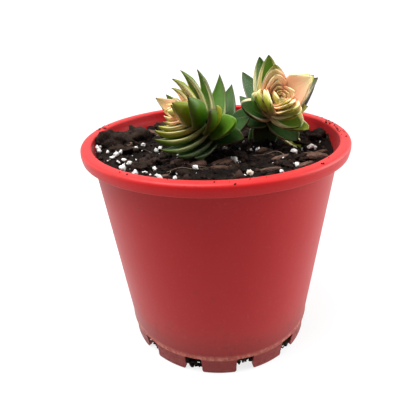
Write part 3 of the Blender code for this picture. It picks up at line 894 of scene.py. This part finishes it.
# The look of each rank's leaves from the youngest: how pale, how pink, how old a green, how brown
# and how grey.
LOOKS = {
    "left_up": (
        (1, 0.9, 0.1, 0.3, 0), (0.95, 0.5, 0.1, 0.9, 0), (0.75, 0.3, 0.25, 0.5, 0),
        (0.65, 0.2, 0.45, 0.5, 0), (0.5, 0, 0.55, 0.9, 0), (0.12, 0, 0.7, 0.9, 0), (0, 0, 0.85, 0.6, 0),
    ),
    "left_down": (
        (1, 0.8, 0, 0.1, 0), (0.75, 0.2, 0, 0.2, 0), (0.5, 0, 0.15, 0.3, 0), (0.35, 0, 0.4, 0.3, 0),
        (0.22, 0, 0.7, 0.3, 0.6), (0.05, 0, 0.95, 0.2, 1), (0, 0, 1, 0.3, 0.7),
    ),
    # The front rank's last leaf takes the darkest green and brown edges, partly its own colour and partly
    # painted shade where it lies behind the leaf before it.
    "left_front": (
        (0.9, 0.8, 0.2, 0.9, 0), (0.4, 0.1, 0.22, 0.9, 0), (0.12, 0, 0.6, 0.8, 0), (0, 0, 0.5, 1.6, 0),
        (0.03, 0, 0.5, 0.05, 0), (0, 0, 1.05, 1, 0),
    ),
    "left_back": (
        (1, 1, 0.1, 0.4, 0), (0.95, 0.9, 0.3, 0.6, 0), (0.8, 0.4, 0.4, 0.6, 0), (0.5, 0.2, 0.5, 0.6, 0),
        (0.2, 0, 0.7, 0.4, 0), (0.1, 0, 0.8, 0.4, 0),
    ),
    "right_up": (
        (1, 1, 0, 0.1, 0), (1, 0.9, 0, 0.5, 0), (0.85, 0.4, 0, 1.2, 0), (0.6, 0.1, 0.5, 0.4, 0),
        (0.4, 0, 0.7, 0.4, 0), (0, 0, 1, 0.3, 1), (0, 0, 1, 0.5, 0.5),
    ),
    "right_down": (
        (1, 1, 0, 0, 0), (1, 0.6, 0, 0.05, 0), (0.8, 0.2, 0.1, 0.2, 0), (0.6, 0.1, 0.4, 0.15, 0),
        (0.2, 0, 0.25, 0, 0), (0.1, 0, 0.95, 0.5, 0), (0.5, 0, 0.2, 0.1, 0),
    ),
    "right_right": (
        (1, 1, 0, 0, 0), (1, 1, 0, 0.1, 0), (1, 0.7, 0, 0.1, 0), (0.95, 0.4, 0.05, 0.2, 0),
        (0.6, 0.1, 0.45, 2.3, 0), (0.3, 0, 0.6, 3, 0),
    ),
    "right_left": (
        (1, 0.9, 0, 0.1, 0), (1, 0.4, 0, 0.1, 0), (0.85, 0.2, 0.1, 0.25, 0), (0.6, 0.1, 0.6, 0.3, 0),
        (0.3, 0, 1, 0.2, 0), (0, 0, 1, 0.1, 0.4),
    ),
}


def leaf_skin():
    """Variegated skin: cream margins, a green middle, a pink blush on young leaves, dark tips."""
    f = Finish("leaf_skin", Specular_IOR_Level=0.3)
    f.set(Subsurface_Weight=0.08, Subsurface_Radius=(0.004, 0.003, 0.001), Subsurface_Scale=0.4)
    spot, look, wear = f.attribute("spot"), f.attribute("look"), f.attribute("wear")
    across, along, under = spot.part(0), spot.part(1), spot.part(2)
    pale, blush, age = look.part(0), look.part(1), look.part(2)
    brown, grey, own = wear.part(0), wear.part(1), wear.part(2)
    at = f.place()
    edge = abs(across)
    lines = f.join(across * 9.0, along * 1.3, own)
    streak = f.noise(1.0, 5.0, 0.62, at=lines)
    fine = f.noise(3.0, 3.0, 0.6, at=f.join(across * 12.0, along * 1.5, own))
    fleck = f.noise(700.0, 4.0, at=at)
    wobble = 0.4 * (streak - 0.5)
    outer = under.between(0.4, 0.66)

    # Where the leaf is green: its middle, its back and its tip, less of it on the palest leaves.
    band = (0.02 + 0.48 * pale) * (1 - 0.72 * outer)
    margin = (edge + wobble).between(1 - band - 0.10, 1 - band + 0.04)
    margin = margin * (1 - 0.8 * outer * (1 - blush)) * (0.2 + 0.8 * pale.between(0.0, 0.3))
    middle = pale.between(0.62, 1.0) * (1 - 0.75 * outer)
    tip = (along + wobble).between(0.62, 0.92) * (1 - 0.75 * blush.between(0.75, 0.95))
    base = (1 - (along + 0.5 * wobble).between(0.0, 0.55)) * pale * (1 - 0.6 * outer)
    green_amount = (1 - margin * (1 - tip * 0.8)) * (1 - middle * (1 - tip * 0.9))
    green_amount = green_amount * (1 - base * 0.85)

    cream = f.mix((0.74, 0.60, 0.20), (0.96, 0.86, 0.56), streak.between(0.3, 0.6))
    cream = f.mix(cream, (0.42, 0.38, 0.05), fine.between(0.55, 0.75) * 0.4)
    pink = blush * (1 - along.between(0.5, 1.05)) * streak.between(0.2, 0.5)
    cream = f.mix(cream, (0.98, 0.50, 0.33), pink * 0.8)
    young = f.mix((0.40, 0.38, 0.02), (0.22, 0.26, 0.008), streak)
    middling = f.mix((0.085, 0.20, 0.006), (0.045, 0.13, 0.004), fleck)
    old = f.mix((0.023, 0.080, 0.008), (0.011, 0.044, 0.005), fleck)
    green = f.mix(young, middling, age.between(0.0, 0.5))
    green = f.mix(green, old, (age + 0.25 * (fine - 0.5)).between(0.55, 1.0))
    light = (1 - edge.between(0.0, 0.6)) * fine.between(0.5, 0.8)
    green = f.mix(green, (0.17, 0.30, 0.03), light * 0.35)
    colour = f.mix(cream, green, green_amount)
    bloom = grey * fine.between(0.35, 0.7)
    colour = f.mix(colour, (0.11, 0.14, 0.09), bloom * 0.5)
    papillae = (1 - f.cells(1100.0, at=at).between(0.12, 0.25)) * grey
    colour = f.mix(colour, (0.22, 0.30, 0.20), papillae * 0.6)

    rim = (edge + 0.08 * (fine - 0.5)).between(0.90, 0.975) * (along + wobble).between(0.3, 0.65)
    colour = f.mix(colour, (0.10, 0.04, 0.025), rim * brown * 0.5)
    shade = (along + 0.25 * (edge - 0.5) + wobble).between(0.6, 1.05) * brown
    colour = f.mix(colour, (0.07, 0.04, 0.02), shade * 0.4)
    scorch = (brown - 2.0).between(0.0, 0.6) * (wobble - across).between(0.10, 0.3)
    colour = f.mix(colour, (0.010, 0.008, 0.006), scorch * along.between(0.35, 0.55))
    point = (along + 0.02 * (fine - 0.5)).between(0.945, 0.985)
    colour = f.mix(colour, (0.025, 0.012, 0.008), point * (0.1 + 0.8 * brown.between(0.0, 0.25)))
    f.set(Base_Color=colour, Roughness=0.30 + 0.22 * fleck)
    pores = f.noise(2600.0, 2.0, at=at)
    f.bump(fine * 0.5 + streak * 0.4 + papillae * 0.8 + pores * 0.2, 0.25 * MM, 0.4)
    return f.made


def grow_leaf(shaped, stem, rank, count, name, look, stray, swing=0.0):
    """Adds one leaf to a mesh at its node on the stem, with what the skin needs to know at each point."""
    place = stem.node(count, rank, swing)
    layers = shaped.verts.layers.float_vector
    own = random.Random(name).uniform(0, 50)
    rings = []
    for row in leaf_body(stem, rank, count, name, stray):
        ring = []
        for point, (across, along, under) in row:
            v = shaped.verts.new((place @ point) * MM)
            v[layers["spot"]] = Vector((across, along, under + stem.head["turned"]))
            v[layers["look"]] = Vector(look[:3])
            v[layers["wear"]] = Vector((*look[3:], own))
            ring.append(v)
        rings.append(ring)
    shaped.faces.new(rings[0])
    join_rings(shaped, rings)
    shaped.faces.new(list(reversed(rings[-1])))


def leaf_mesh():
    shaped = bmesh.new()
    for key in ("spot", "look", "wear"):
        shaped.verts.layers.float_vector.new(key)
    return shaped


def show_leaves(name, shaped, material, nodes=()):
    bmesh.ops.recalc_face_normals(shaped, faces=shaped.faces)
    show(name, finished_mesh(shaped, name), material, nodes)


def build_leaf(stem, rank, count, number, material):
    rank_name = f"{stem.head['name']}_{stem.head['ranks'][rank]}"
    node = f"{rank_name}_{number}"
    shaped = leaf_mesh()
    look = LOOKS[rank_name][number - 1]
    grow_leaf(shaped, stem, rank, count, node, look, STRAY[rank_name].get(number, (0, 0, 0)))
    show_leaves("leaf_" + node, shaped, material, [node])


# The crown's unopened leaves: how many pairs down from the tip, more rise and more length.
CROWN = ((0.75, 3, -2.0), (0.45, 5, -3.0), (0.15, 9, -2.8), (0.0, 14, -2.5), (-0.2, 22, -1.0))
BUD_LOOK = (1, 1, 0, 0, 0)

# More rise for each rank of a crown, in degrees; a rank below zero opens outward.
OPEN = {"left": (0, 0, 0, 0), "right": (-26, 2, -22, 0)}


def build_crown(stem, material):
    """The small folded leaves at a head's tip."""
    head = stem.head["name"]
    shaped = leaf_mesh()
    for level, (count, rise, longer) in enumerate(CROWN):
        for rank in range(4):
            name = f"{head}_bud_{level}_{rank}"
            stray = (rise + 2 * rank + OPEN[head][rank], 0.3 * (rank - 1.5), longer)
            grow_leaf(shaped, stem, rank, count - 0.08 * (rank > 1), name, BUD_LOOK, stray)
    show_leaves("crown_" + head, shaped, material)


# Oldest leaves below the ranks, half hidden: name, rank, count, look, stray and swing.
# The shade leaves take the darkest old green: partly the colour of old leaves, partly painted shade for
# the deep shade they hang in beneath the heads.
SKIRT = {
    "left": (
        ("shade_a", 2, 7.3, (0, 0, 1, 0.9, 0), (10, 0, -5), 25),
        ("shade_b", 1, 8, (0, 0, 1, 0.5, 0.5), (30, 0, -9), -40),
        ("sprout", 2, 4.9, (0.2, 0, 0.1, 0.1, 0), (0, 1.5, -3), 8),
    ),
    "right": (
        ("shade_a", 3, 7.6, (0, 0, 1, 0.3, 0.1), (-8, 0, -3), 50),
        ("shade_b", 1, 8.2, (0, 0, 1, 0.3, 0.1), (0, 0, -3), -30),
        ("shade_c", 3, 8.9, (0, 0, 1, 0.5, 0.2), (12, 0, -5), 10),
        ("shade_d", 2, 8.6, (0, 0, 0.95, 0.4, 0.1), (12, 0, -5), -20),
        ("papery", 2, 6.7, (1, 0, 0, 0.2, 0), (40, -2, -4.5, 1.2), -34),
    ),
}


def build_skirt(stem, material):
    """The old leaves low on a head, behind and beneath its ranks."""
    head = stem.head["name"]
    shaped = leaf_mesh()
    for name, rank, count, *rest in SKIRT[head]:
        grow_leaf(shaped, stem, rank, count, f"{head}_{name}", *rest)
    show_leaves("old_leaves_" + head, shaped, material)


def stem_bark():
    """Thin green-brown bark with the scars of fallen leaves."""
    f = Finish("stem_skin", Roughness=0.6)
    rings = f.noise(1.0, 4.0, 0.6, at=f.stretch(f.place(), (250.0, 250.0, 900.0)))
    f.set(Base_Color=f.mix((0.035, 0.04, 0.012), (0.11, 0.08, 0.05), rings))
    f.bump(rings, 0.4 * MM, 0.8)
    return f.made


def build_heads():
    skin, bark = leaf_skin(), stem_bark()
    for head in (LEFT, RIGHT):
        stem = Stem(head)
        for rank in range(4):
            crossing = rank > 1
            for number in range(1, PAIRS + 1 - crossing):
                build_leaf(stem, rank, number + 0.5 * crossing, number, skin)
        build_crown(stem, skin)
        build_skirt(stem, skin)
        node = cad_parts["stem_" + head["name"]]
        node.data.materials.clear()
        node.data.materials.append(bark)


# ---- studio ----
# The camera: its place in metres, its turn, its tip down and its roll in degrees, and its lens.
CAMERA_AT = (0.0, -0.192514, 0.167032)
TURN, TIP, ROLL = -1.40, 26.86, -2.235
LENS_MM = 34.17
SENSOR_MM = 36.0

# Softboxes: where each stands and what it looks at, in metres, its width and its power in watts.
SOFTBOXES = {
    "overhead_softbox": ((-0.22, -0.06, 0.8), (0, 0, 0.1), 0.5, 10.5),
    "right_softbox": ((0.8, 0.05, 0.35), (0, 0, 0.08), 0.6, 8.0),
    "left_softbox": ((-0.8, 0.1, 0.35), (0, 0, 0.08), 0.6, 1.8),
}
WHITE = (1.0, 1.0, 1.0)


def build_camera():
    turn, tip, roll = math.radians(TURN), math.radians(TIP), math.radians(ROLL)
    forward = Vector((math.sin(turn) * math.cos(tip), math.cos(turn) * math.cos(tip), -math.sin(tip)))
    side = Vector((math.cos(turn), -math.sin(turn), 0.0))
    up = side.cross(forward)
    right = side * math.cos(roll) + up * math.sin(roll)
    top = up * math.cos(roll) - side * math.sin(roll)
    camera = in_scene(bpy.data.objects.new("camera", bpy.data.cameras.new("camera")))
    camera.data.sensor_width = SENSOR_MM
    camera.data.lens = LENS_MM
    basis = Matrix((right, top, -forward)).transposed().to_4x4()
    camera.matrix_world = Matrix.Translation(CAMERA_AT) @ basis
    bpy.context.scene.camera = camera


def build_softboxes():
    for name, (place, target, width, power) in SOFTBOXES.items():
        lamp = in_scene(bpy.data.objects.new(name, bpy.data.lights.new(name, "AREA")))
        lamp.data.size = width
        lamp.data.energy = power
        aim = (Vector(target) - Vector(place)).to_track_quat("-Z", "Y").to_matrix().to_4x4()
        lamp.matrix_world = Matrix.Translation(place) @ aim


def build_sky():
    """White all round and above; its light is dim on the camera's side, so the pot stays deep red."""
    sky = Finish("studio", "worlds")
    bpy.context.scene.world = sky.made
    way = sky.add("TexCoord", {}, {}, out="Generated")
    front = 1 - (way.part(1) * -1.0).between(0.15, 0.75)
    light = sky.add("Background", {}, {"Color": WHITE, "Strength": 0.10 + 0.75 * front})
    seen = sky.add("Background", {}, {"Color": WHITE, "Strength": 1.2})
    ray = sky.add("LightPath", {}, {}, out="Is Camera Ray")
    both = sky.add("MixShader", {}, {0: ray, 1: light, 2: seen})
    sky.feed(sky.tree.nodes["World Output"].inputs[0], both)


def build_floor():
    """A square of bright paper just under the pot."""
    paper = Finish("studio_paper", Base_Color=(0.22, 0.22, 0.22), Roughness=0.9)
    paper.set(Specular_IOR_Level=0.0, Emission_Color=WHITE, Emission_Strength=0.78)
    shaped = bmesh.new()
    bmesh.ops.create_grid(shaped, x_segments=1, y_segments=1, size=0.5)
    floor = in_scene(bpy.data.objects.new("studio_floor", finished_mesh(shaped, "studio_floor")))
    floor.data.materials.append(paper.made)
    floor.location.z = -0.2 * MM


def build_studio():
    bpy.context.scene.view_settings.view_transform = "Standard"
    build_sky()
    build_floor()
    build_softboxes()


build_camera()
build_studio()
build_pot()
build_soil()
build_bark()
build_perlite()
build_fibres()
build_heads()
